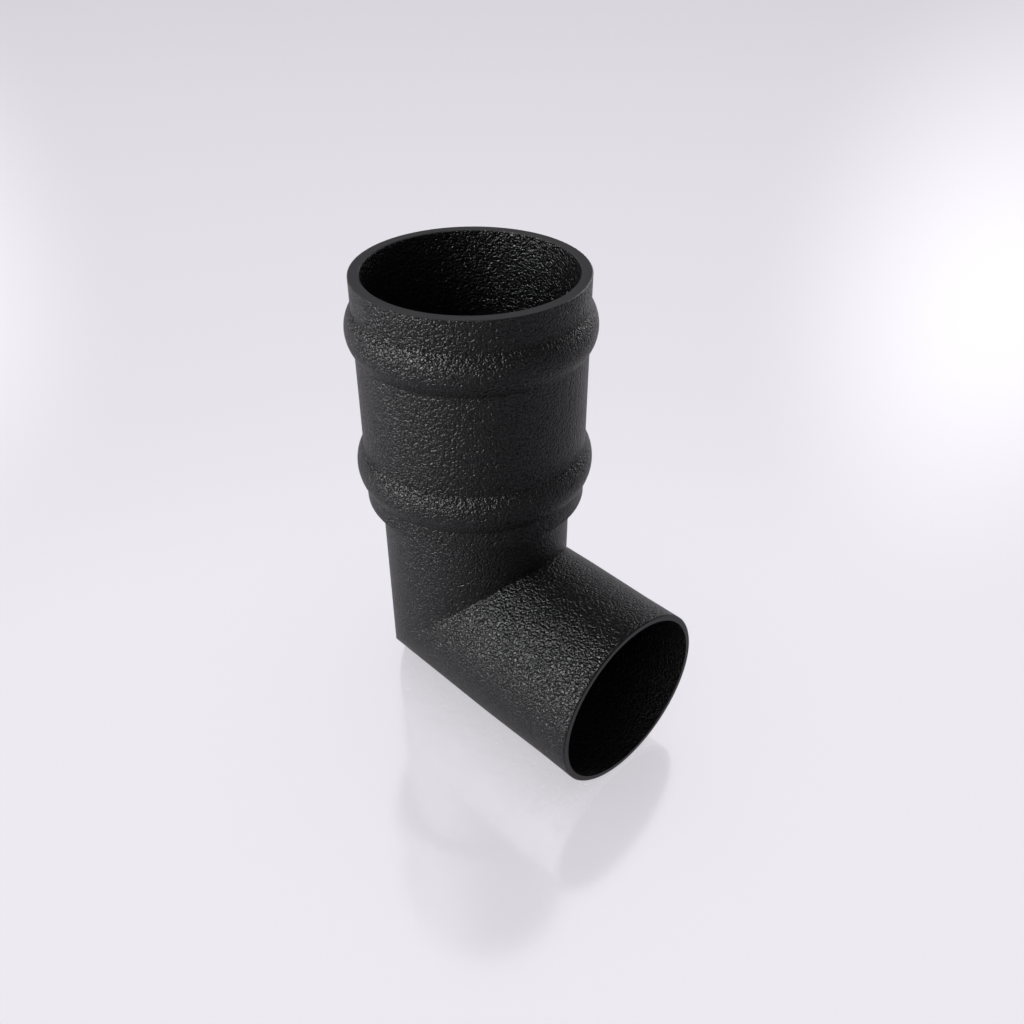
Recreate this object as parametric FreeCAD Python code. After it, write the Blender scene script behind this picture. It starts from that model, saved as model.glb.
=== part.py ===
import FreeCAD, Part
import math
import os

# Moulded elbow for a round downpipe, in millimetres.
# A long socket with two raised bands takes the pipe from above. Under it a short drop runs into a
# sharp mitred bend, and a plain round outlet carries the water away.
# The origin is the centre of the seat that the pipe's cut end stands on. +Z is up the socket's
# axis, and +X is the way the outlet points.

# Pipe that goes into the socket, and the outlet's end that goes into the next socket
pipe_radius = 34.0
pipe_clearance = 0.75
spigot_relief = 0.5
spigot_length = 15.0

# Lengths along the two axes
seat_depth = 79.0
mouth_to_outlet_axis = 134.5
outlet_reach = 78.4
bend_angle = 90.0

# Walls and edges
socket_mouth_wall = 3.85
socket_draft = 0.25
seat_thickness = 3.0
leg_wall = 3.0
outlet_end_wall = 2.1
straight_past_bend = 2.0
edge_radius = 0.4
lead_in = 0.4

# Raised bands round the socket
band_width = 14.3
band_height = 2.65
upper_band_below_mouth = 17.7
lower_band_above_base = 14.0

# Worked out from the sizes above
socket_bore = pipe_radius + pipe_clearance
socket_mouth_radius = socket_bore + socket_mouth_wall
waterway_radius = pipe_radius - leg_wall
spigot_radius = pipe_radius - spigot_relief
outlet_bore = spigot_radius - outlet_end_wall
mouth_z = seat_depth
base_z = -seat_thickness
corner = FreeCAD.Vector(0, 0, mouth_z - mouth_to_outlet_axis)
outlet_end_z = corner.z - outlet_reach
throat = pipe_radius * math.tan(math.radians(bend_angle / 2))
up = FreeCAD.Vector(0, 0, 1)
across = FreeCAD.Vector(0, 1, 0)


def socket_outside(z):
    """Outside radius of the socket at a height. The draft widens it downwards."""
    return socket_mouth_radius + (mouth_z - z) * math.tan(math.radians(socket_draft))


def turned(edges):
    """Solid that a closed outline sweeps once round the Z axis."""
    return Part.Face(Part.Wire(edges)).revolve(FreeCAD.Vector(), up, 360)


def line(start, end):
    return Part.LineSegment(start, end).toShape()


def arc(start, middle, end):
    return Part.Arc(start, middle, end).toShape()


def outline(corners):
    """Edges of a closed outline whose corners are given as radius, height and rounding."""
    points = [FreeCAD.Vector(radius, 0, z) for radius, z, rounding in corners]
    bends = []
    for i, (radius, z, rounding) in enumerate(corners):
        here = points[i]
        back = (points[i - 1] - here).normalize()
        ahead = (points[(i + 1) % len(points)] - here).normalize()
        half = back.getAngle(ahead) / 2
        start = here + back * (rounding / math.tan(half))
        middle = here + (back + ahead).normalize() * (rounding / math.sin(half) - rounding)
        end = here + ahead * (rounding / math.tan(half))
        bends.append((start, middle, end))
    edges = []
    for i, (start, middle, end) in enumerate(bends):
        edges.append(line(bends[i - 1][2], start))
        if corners[i][2]:
            edges.append(arc(start, middle, end))
    return edges


def socket_and_drop():
    """Hollow upright leg: the socket, its seat, and the drop down past the mitre."""
    low = corner.z - 2 * throat
    return turned(outline([
        (socket_bore + lead_in, mouth_z, 0),
        (socket_bore, mouth_z - lead_in, 0),
        (socket_bore, 0, 0),
        (waterway_radius, 0, 0),
        (waterway_radius, low, 0),
        (pipe_radius, low, 0),
        (pipe_radius, base_z, 0),
        (socket_outside(base_z), base_z, edge_radius),
        (socket_outside(mouth_z), mouth_z, edge_radius),
    ]))


def outlet_leg():
    """Hollow outlet, drawn hanging straight down from the corner before it is turned."""
    high = corner.z + 2 * throat
    bend_z = corner.z - throat - straight_past_bend
    return turned(outline([
        (waterway_radius, high, 0),
        (waterway_radius, bend_z, 0),
        (outlet_bore, outlet_end_z, 0),
        (spigot_radius - lead_in, outlet_end_z, 0),
        (spigot_radius, outlet_end_z + lead_in, 0),
        (spigot_radius, outlet_end_z + spigot_length, 0),
        (pipe_radius, bend_z, 0),
        (pipe_radius, high, 0),
    ]))


def band(middle_z):
    """Round-backed ring, rooted in the socket's wall."""
    high = middle_z + band_width / 2
    low = middle_z - band_width / 2
    root = socket_bore + socket_mouth_wall / 2
    lower = FreeCAD.Vector(socket_outside(low), 0, low)
    crown = FreeCAD.Vector(socket_outside(middle_z) + band_height, 0, middle_z)
    upper = FreeCAD.Vector(socket_outside(high), 0, high)
    root_high = FreeCAD.Vector(root, 0, high)
    root_low = FreeCAD.Vector(root, 0, low)
    return turned([
        arc(lower, crown, upper),
        line(upper, root_high),
        line(root_high, root_low),
        line(root_low, lower),
    ])


def outlet_side():
    """Block that fills all the space on the outlet's side of the mitre."""
    reach = mouth_to_outlet_axis + outlet_reach
    block = Part.makeBox(2 * reach, 2 * reach, reach, FreeCAD.Vector(-reach, -reach, corner.z - reach))
    block.rotate(corner, across, -bend_angle / 2)
    return block


def elbow():
    side = outlet_side()
    outlet = outlet_leg()
    outlet.rotate(corner, across, -bend_angle)
    bands = [band(mouth_z - upper_band_below_mouth), band(base_z + lower_band_above_base)]
    legs = socket_and_drop().cut(side).fuse(outlet.common(side))
    return legs.fuse(bands).removeSplitter()


os.makedirs("parts", exist_ok=True)
elbow().exportStep("parts/downpipe_elbow.step")
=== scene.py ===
import math

import bpy
from mathutils import Matrix, Vector


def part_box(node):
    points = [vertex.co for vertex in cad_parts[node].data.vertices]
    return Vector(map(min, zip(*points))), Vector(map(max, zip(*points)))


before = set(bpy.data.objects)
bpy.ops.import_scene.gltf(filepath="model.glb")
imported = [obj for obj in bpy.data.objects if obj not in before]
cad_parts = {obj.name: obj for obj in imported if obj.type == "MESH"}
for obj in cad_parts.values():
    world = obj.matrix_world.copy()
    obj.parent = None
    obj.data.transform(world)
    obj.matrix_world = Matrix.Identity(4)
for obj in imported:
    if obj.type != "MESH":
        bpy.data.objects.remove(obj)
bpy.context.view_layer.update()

bl_info = {
    "name": "Moulded Downspout Elbow",
    "version": (1, 0, 0),
    "blender": (4, 5, 0),
    "location": "View3D > Sidebar > Downspout",
    "description": "Finishes a black moulded downspout elbow and sets up its pale studio",
    "category": "Object",
}

ELBOW = "downpipe_elbow"
LOW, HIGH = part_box(ELBOW)


class ElbowFinishSettings(bpy.types.PropertyGroup):
    """Colour, painted sheen of the mouth's face and cast grain of the elbow's plastic."""

    plastic_colour: bpy.props.FloatVectorProperty(
        name="Plastic Colour", description="Colour of the black plastic under its gloss",
        subtype="COLOR", size=3, min=0.0, max=1.0, default=(0.002, 0.002, 0.002))
    # Painted sheen: the mouth's plain face is coloured greyer to stand in for the sky that it reflects.
    painted_sheen_colour: bpy.props.FloatVectorProperty(
        name="Painted Sheen Colour", description="Greyer colour painted on the mouth's plain face as a painted sheen",
        subtype="COLOR", size=3, min=0.0, max=1.0, default=(0.025, 0.025, 0.026))
    roughness: bpy.props.FloatProperty(
        name="Roughness", description="Roughness of the plastic between the grains",
        subtype="FACTOR", min=0.0, max=1.0, default=0.29)
    shine: bpy.props.FloatProperty(
        name="Shine", description="How much light the plastic throws back head on",
        subtype="FACTOR", min=0.0, max=1.0, default=0.34)
    grain_size: bpy.props.FloatProperty(
        name="Grain Size", description="Width of one grain of the cast texture",
        unit="LENGTH", min=0.0002, max=0.01, default=0.00084)
    grain_depth: bpy.props.FloatProperty(
        name="Grain Depth",
        description="Height of the grain from its deepest valley to its highest top",
        unit="LENGTH", min=0.0, max=0.002, default=0.00044)
    plain_edge: bpy.props.FloatProperty(
        name="Plain Edge",
        description="Depth below the mouth's face and behind the outlet's end with no grain",
        unit="LENGTH", min=0.0, max=0.005, default=0.0003)


class StudioSettings(bpy.types.PropertyGroup):
    """Floor, lamps and camera of the studio."""

    floor_colour: bpy.props.FloatVectorProperty(
        name="Floor Colour", description="Tint of the floor and of the sky",
        subtype="COLOR", size=3, min=0.0, max=1.0, default=(0.97, 0.952, 1.0))
    floor_glow: bpy.props.FloatProperty(
        name="Floor Glow", description="Brightness of the floor's own pale glow under the elbow",
        min=0.0, max=1.0, default=0.53)
    far_glow: bpy.props.FloatProperty(
        name="Far Floor Glow", description="Brightness of the floor's own pale glow at the horizon",
        min=0.0, max=1.0, default=0.32)
    mirrored_glow: bpy.props.FloatProperty(
        name="Mirrored Glow",
        description="Share of the glow of floor and sky that glossy surfaces show",
        subtype="FACTOR", min=0.0, max=1.0, default=0.21)
    floor_matt: bpy.props.FloatProperty(
        name="Floor Matt",
        description="Share of the light on the floor that it scatters, which keeps the shade",
        subtype="FACTOR", min=0.0, max=1.0, default=0.25)
    floor_gloss: bpy.props.FloatProperty(
        name="Floor Gloss", description="Share of the light on the floor that makes a soft mirror image",
        subtype="FACTOR", min=0.0, max=1.0, default=0.94)
    floor_roughness: bpy.props.FloatProperty(
        name="Floor Roughness", description="Softness of the mirror image in the floor",
        subtype="FACTOR", min=0.0, max=1.0, default=0.14)
    low_sky: bpy.props.FloatProperty(
        name="Low Sky", description="Brightness of the sky near the horizon",
        min=0.0, max=1.0, default=0.62)
    high_sky: bpy.props.FloatProperty(
        name="High Sky", description="Brightness of the sky overhead",
        min=0.0, max=1.0, default=0.90)
    lamp_strength: bpy.props.FloatProperty(
        name="Lamp Strength", description="Brightness of the softboxes, all together",
        min=0.0, max=4.0, default=1.0)
    lens: bpy.props.FloatProperty(
        name="Lens", description="Focal length of the camera in millimetres on a 36 mm wide sensor",
        min=10.0, max=200.0, default=33.407)
    camera_distance: bpy.props.FloatProperty(
        name="Camera Distance", description="Level distance from the socket's axis to the camera",
        unit="LENGTH", min=0.1, max=2.0, default=0.28658)
    camera_height: bpy.props.FloatProperty(
        name="Camera Height", description="Height of the camera above the mouth",
        unit="LENGTH", min=-1.0, max=2.0, default=0.11404)
    camera_side: bpy.props.FloatProperty(
        name="Camera Side",
        description="Turn round the socket's axis from the side where the outlet points right",
        subtype="ANGLE", default=math.radians(48.533))
    camera_turn: bpy.props.FloatProperty(
        name="Camera Turn", description="Turn of the camera away from the socket's axis, to the right",
        subtype="ANGLE", default=math.radians(2.6385))
    camera_tilt: bpy.props.FloatProperty(
        name="Camera Tilt", description="How far the camera looks down",
        subtype="ANGLE", default=math.radians(36.085))
    camera_roll: bpy.props.FloatProperty(
        name="Camera Roll", description="Turn of the camera about its own line of sight",
        subtype="ANGLE", default=math.radians(0.127))


def add_node(tree, kind, links=(), values=(), **settings):
    """New node with its settings, its own values by socket name or number, and links into it."""
    node = tree.nodes.new(kind)
    for name, value in settings.items():
        setattr(node, name, value)
    for socket, value in dict(values).items():
        node.inputs[socket].default_value = value
    for socket, source in dict(links).items():
        tree.links.new(source, node.inputs[socket])
    return node


def ramp(tree, value, start, end, low, high, blend="LINEAR"):
    """Output that goes from low to high while the value goes from start to end."""
    limits = {"From Min": start, "From Max": end, "To Min": low, "To Max": high}
    node = add_node(tree, "ShaderNodeMapRange", {"Value": value}, limits, interpolation_type=blend)
    return node.outputs[0]


def grain_height(tree, place, size):
    """Height of the cast grain, from 1 on its tops down into its valleys.

    It is made of round-topped plates that are pushed out of shape, with narrow valleys between them.
    """
    push_in_grains = 1.3
    turns_per_grain = 0.7
    wander = add_node(tree, "ShaderNodeTexNoise", {"Vector": place},
                      {"Scale": turns_per_grain / size, "Detail": 0.0})
    shift = add_node(tree, "ShaderNodeVectorMath", {0: wander.outputs["Color"]},
                     {"Scale": push_in_grains * size}, operation="SCALE")
    bent = add_node(tree, "ShaderNodeVectorMath", {0: place, 1: shift.outputs[0]}, operation="ADD")
    plates = add_node(tree, "ShaderNodeTexVoronoi", {"Vector": bent.outputs[0]}, {"Scale": 1.0 / size})
    from_middle = plates.outputs["Distance"]
    drop = add_node(tree, "ShaderNodeMath", {0: from_middle, 1: from_middle}, operation="MULTIPLY")
    return add_node(tree, "ShaderNodeMath", {1: drop.outputs[0]}, {0: 1.0}, operation="SUBTRACT").outputs[0]


def black_plastic(settings):
    """Black moulded plastic with a cast grain, plain at both ends, and a greyer colour on the mouth's face
    that is a painted sheen.
    """
    material = bpy.data.materials.new("black_plastic")
    material.use_nodes = True
    tree = material.node_tree
    surface = tree.nodes["Principled BSDF"]
    surface.inputs["Roughness"].default_value = settings.roughness
    surface.inputs["Specular IOR Level"].default_value = settings.shine
    place = add_node(tree, "ShaderNodeTexCoord").outputs["Object"]
    height = grain_height(tree, place, settings.grain_size)
    parts = add_node(tree, "ShaderNodeSeparateXYZ", {0: place})
    whole_edge = settings.plain_edge
    bare_edge = 0.2 * whole_edge
    below_mouth = ramp(tree, parts.outputs["Z"], HIGH.z - bare_edge, HIGH.z - whole_edge, 0.0, 1.0)
    behind_end = ramp(tree, parts.outputs["X"], HIGH.x - bare_edge, HIGH.x - whole_edge, 0.0, 1.0)
    grained = add_node(tree, "ShaderNodeMath", {0: below_mouth, 1: behind_end}, operation="MULTIPLY")
    # Painted sheen: the mouth's plain face takes the greyer colour in place of the sky that it reflects.
    colour = add_node(tree, "ShaderNodeMix", {"Factor": below_mouth}, data_type="RGBA")
    colour.inputs["A"].default_value = (*settings.painted_sheen_colour, 1.0)
    colour.inputs["B"].default_value = (*settings.plastic_colour, 1.0)
    tree.links.new(colour.outputs["Result"], surface.inputs["Base Color"])
    bump = add_node(tree, "ShaderNodeBump", {"Height": height, "Strength": grained.outputs[0]},
                    {"Distance": settings.grain_depth})
    tree.links.new(bump.outputs["Normal"], surface.inputs["Normal"])
    return material


class DOWNSPOUT_OT_finish_elbow(bpy.types.Operator):
    """Give the elbow its black plastic with a cast grain"""

    bl_idname = "downspout.finish_elbow"
    bl_label = "Finish Elbow"
    bl_options = {"REGISTER", "UNDO"}

    def execute(self, context):
        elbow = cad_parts[ELBOW]
        elbow.material_slots[0].material = black_plastic(context.scene.elbow_finish)
        return {"FINISHED"}


def pale_floor(settings):
    """Pale floor: its own even glow, a share of scattered light that holds the shade, and a soft mirror."""
    fade_distance = 1.6
    material = bpy.data.materials.new("pale_floor")
    material.use_nodes = True
    tree = material.node_tree
    tree.nodes.clear()
    tint = Vector(settings.floor_colour)
    place = add_node(tree, "ShaderNodeTexCoord").outputs["Object"]
    distance = add_node(tree, "ShaderNodeVectorMath", {0: place}, operation="LENGTH").outputs["Value"]
    fade = add_node(tree, "ShaderNodeMath", {0: distance}, {1: -1.0 / fade_distance}, operation="MULTIPLY")
    near = add_node(tree, "ShaderNodeMath", {0: fade.outputs[0]}, operation="EXPONENT").outputs[0]
    glow = ramp(tree, near, 0.0, 1.0, settings.far_glow, settings.floor_glow)
    rays = add_node(tree, "ShaderNodeLightPath").outputs
    glossy = add_node(tree, "ShaderNodeMath", {0: rays["Is Glossy Ray"]}, {1: settings.mirrored_glow},
                      operation="MULTIPLY").outputs[0]
    glossy_or_clear = add_node(tree, "ShaderNodeMath", {0: rays["Is Transmission Ray"], 1: glossy},
                               operation="MAXIMUM").outputs[0]
    seen = add_node(tree, "ShaderNodeMath", {0: rays["Is Camera Ray"], 1: glossy_or_clear},
                    operation="MAXIMUM").outputs[0]
    strength = add_node(tree, "ShaderNodeMath", {0: glow, 1: seen}, operation="MULTIPLY").outputs[0]
    light = add_node(tree, "ShaderNodeEmission", {"Strength": strength}, {"Color": (*tint, 1.0)})
    matt_colour = (*(tint * settings.floor_matt), 1.0)
    gloss_colour = (*(tint * settings.floor_gloss), 1.0)
    matt = add_node(tree, "ShaderNodeBsdfDiffuse", values={"Color": matt_colour})
    gloss = add_node(tree, "ShaderNodeBsdfGlossy",
                     values={"Color": gloss_colour, "Roughness": settings.floor_roughness})
    scattered = add_node(tree, "ShaderNodeAddShader", {0: matt.outputs[0], 1: gloss.outputs[0]})
    whole = add_node(tree, "ShaderNodeAddShader", {0: light.outputs[0], 1: scattered.outputs[0]})
    add_node(tree, "ShaderNodeOutputMaterial", {"Surface": whole.outputs[0]})
    return material


def wide_floor(settings):
    """Round floor that reaches to the horizon, under the elbow's lowest point."""
    floor_radius = 12.0
    floor_sides = 96
    bpy.ops.object.select_all(action="DESELECT")
    bpy.ops.mesh.primitive_circle_add(vertices=floor_sides, radius=floor_radius, fill_type="NGON",
                                      location=(0.0, 0.0, LOW.z))
    floor = bpy.context.object
    floor.name = "floor"
    bpy.ops.object.transform_apply(location=True)
    floor.data.materials.append(pale_floor(settings))


def studio_sky(settings):
    """Soft sky that is brighter overhead than at the horizon, and weaker where gloss shows it."""
    low_edge = math.sin(math.radians(28.0))
    high_edge = math.sin(math.radians(38.0))
    world = bpy.data.worlds.new("studio_sky")
    bpy.context.scene.world = world
    world.use_nodes = True
    tree = world.node_tree
    sky = tree.nodes["Background"]
    sky.inputs["Color"].default_value = (*settings.floor_colour, 1.0)
    direction = add_node(tree, "ShaderNodeTexCoord").outputs["Generated"]
    height = add_node(tree, "ShaderNodeSeparateXYZ", {0: direction}).outputs["Z"]
    glow = ramp(tree, height, low_edge, high_edge, settings.low_sky, settings.high_sky, "SMOOTHSTEP")
    glossy = add_node(tree, "ShaderNodeLightPath").outputs["Is Glossy Ray"]
    share = ramp(tree, glossy, 0.0, 1.0, 1.0, settings.mirrored_glow)
    strength = add_node(tree, "ShaderNodeMath", {0: glow, 1: share}, operation="MULTIPLY")
    tree.links.new(strength.outputs[0], sky.inputs["Strength"])


def soft_edge(lamp):
    """Let the lamp's face fade from its middle to nothing at its edge."""
    lamp.use_nodes = True
    tree = lamp.node_tree
    face = add_node(tree, "ShaderNodeNewGeometry").outputs["Parametric"]
    half = 0.5
    across = add_node(tree, "ShaderNodeVectorMath", {0: face}, {1: (half, half, 0.0)}, operation="SUBTRACT")
    from_middle = add_node(tree, "ShaderNodeVectorMath", {0: across.outputs[0]},
                           operation="LENGTH").outputs["Value"]
    fade = ramp(tree, from_middle, half, 0.0, 0.0, 1.0, "SMOOTHSTEP")
    tree.links.new(fade, tree.nodes["Emission"].inputs["Strength"])


def softbox(name, aim, side, height, distance, size, brightness):
    """Lamp with a soft edge that looks at the elbow.

    side is its turn to the right of the camera's line of sight and height its rise above level, in
    degrees. size is its width and its height, and brightness that of the middle of its face.
    """
    heading = aim - math.radians(side)
    rise = math.radians(height)
    back = Vector((math.cos(heading) * math.cos(rise), math.sin(heading) * math.cos(rise), math.sin(rise)))
    bpy.ops.object.light_add(type="AREA", location=back * distance)
    lamp = bpy.context.object
    lamp.name = name
    lamp.rotation_euler = back.to_track_quat("Z", "Y").to_euler()
    lamp.data.shape = "RECTANGLE"
    lamp.data.size, lamp.data.size_y = size
    lamp.data.energy = brightness * size[0] * size[1] * math.pi
    lamp.visible_camera = False
    soft_edge(lamp.data)
    return lamp


def shine_only_on(lamp, target):
    """Let the lamp light one object alone. The floor shows no glare of it and doesn't shade it."""
    lit = bpy.data.collections.new(lamp.name + "_lit")
    lit.objects.link(target)
    lamp.light_linking.receiver_collection = lit
    lamp.light_linking.blocker_collection = lit


def camera_heading(settings):
    """Angle from +X of the way that the camera looks, seen from above."""
    return math.pi / 2 + settings.camera_side - settings.camera_turn


def studio_camera(settings):
    """Camera where the reference view was taken from."""
    side = Vector((math.sin(settings.camera_side), -math.cos(settings.camera_side), 0.0))
    place = side * settings.camera_distance
    place.z = HIGH.z + settings.camera_height
    bpy.ops.object.camera_add(location=place)
    camera = bpy.context.object
    turn = Matrix.Rotation(camera_heading(settings) - math.pi / 2, 4, "Z")
    tilt = Matrix.Rotation(math.pi / 2 - settings.camera_tilt, 4, "X")
    roll = Matrix.Rotation(settings.camera_roll, 4, "Z")
    camera.matrix_world = Matrix.Translation(place) @ turn @ tilt @ roll
    camera.data.sensor_width = 36.0
    camera.data.lens = settings.lens
    camera.data.clip_start = 0.01
    bpy.context.scene.camera = camera


class DOWNSPOUT_OT_build_studio(bpy.types.Operator):
    """Add the pale floor, the sky, the softboxes and the camera"""

    bl_idname = "downspout.build_studio"
    bl_label = "Build Studio"
    bl_options = {"REGISTER", "UNDO"}

    def execute(self, context):
        settings = context.scene.elbow_studio
        wide_floor(settings)
        studio_sky(settings)
        studio_camera(settings)
        aim = camera_heading(settings)
        glow = settings.lamp_strength
        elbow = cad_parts[ELBOW]
        near = 2.4
        far = 4.0
        for lamp in (
            softbox("left_softbox", aim, -108.0, 7.0, near, (2.8, 1.9), 13.5 * glow),
            softbox("high_softbox", aim, -119.0, 35.0, near, (1.4, 1.4), 29.0 * glow),
            softbox("front_softbox", aim, -136.0, 28.0, near, (2.6, 2.2), 3.8 * glow),
            softbox("floor_bounce", aim, -140.0, -30.0, near, (2.6, 2.0), 6.0 * glow),
            softbox("right_softbox", aim, 40.0, 2.0, near, (3.0, 1.6), 2.6 * glow),
        ):
            shine_only_on(lamp, elbow)
        softbox("back_right_softbox", aim, 31.0, 16.5, far, (2.2, 2.9), 0.31 * glow)
        softbox("back_left_softbox", aim, -37.5, 13.0, far, (1.8, 2.6), 0.27 * glow)
        context.scene.view_settings.view_transform = "Standard"
        return {"FINISHED"}


class DOWNSPOUT_PT_panel(bpy.types.Panel):
    bl_label = "Downspout Elbow"
    bl_idname = "DOWNSPOUT_PT_panel"
    bl_space_type = "VIEW_3D"
    bl_region_type = "UI"
    bl_category = "Downspout"

    def draw(self, context):
        for title, settings, operator in (
            ("Elbow", context.scene.elbow_finish, "downspout.finish_elbow"),
            ("Studio", context.scene.elbow_studio, "downspout.build_studio"),
        ):
            box = self.layout.box()
            box.label(text=title)
            for name in settings.__annotations__:
                box.prop(settings, name)
            box.operator(operator)


CLASSES = (
    ElbowFinishSettings,
    StudioSettings,
    DOWNSPOUT_OT_finish_elbow,
    DOWNSPOUT_OT_build_studio,
    DOWNSPOUT_PT_panel,
)


def register():
    for cls in CLASSES:
        bpy.utils.register_class(cls)
    bpy.types.Scene.elbow_finish = bpy.props.PointerProperty(type=ElbowFinishSettings)
    bpy.types.Scene.elbow_studio = bpy.props.PointerProperty(type=StudioSettings)


def unregister():
    del bpy.types.Scene.elbow_studio
    del bpy.types.Scene.elbow_finish
    for cls in reversed(CLASSES):
        bpy.utils.unregister_class(cls)


def main():
    register()
    bpy.ops.downspout.finish_elbow()
    bpy.ops.downspout.build_studio()


if __name__ == "__main__":
    main()
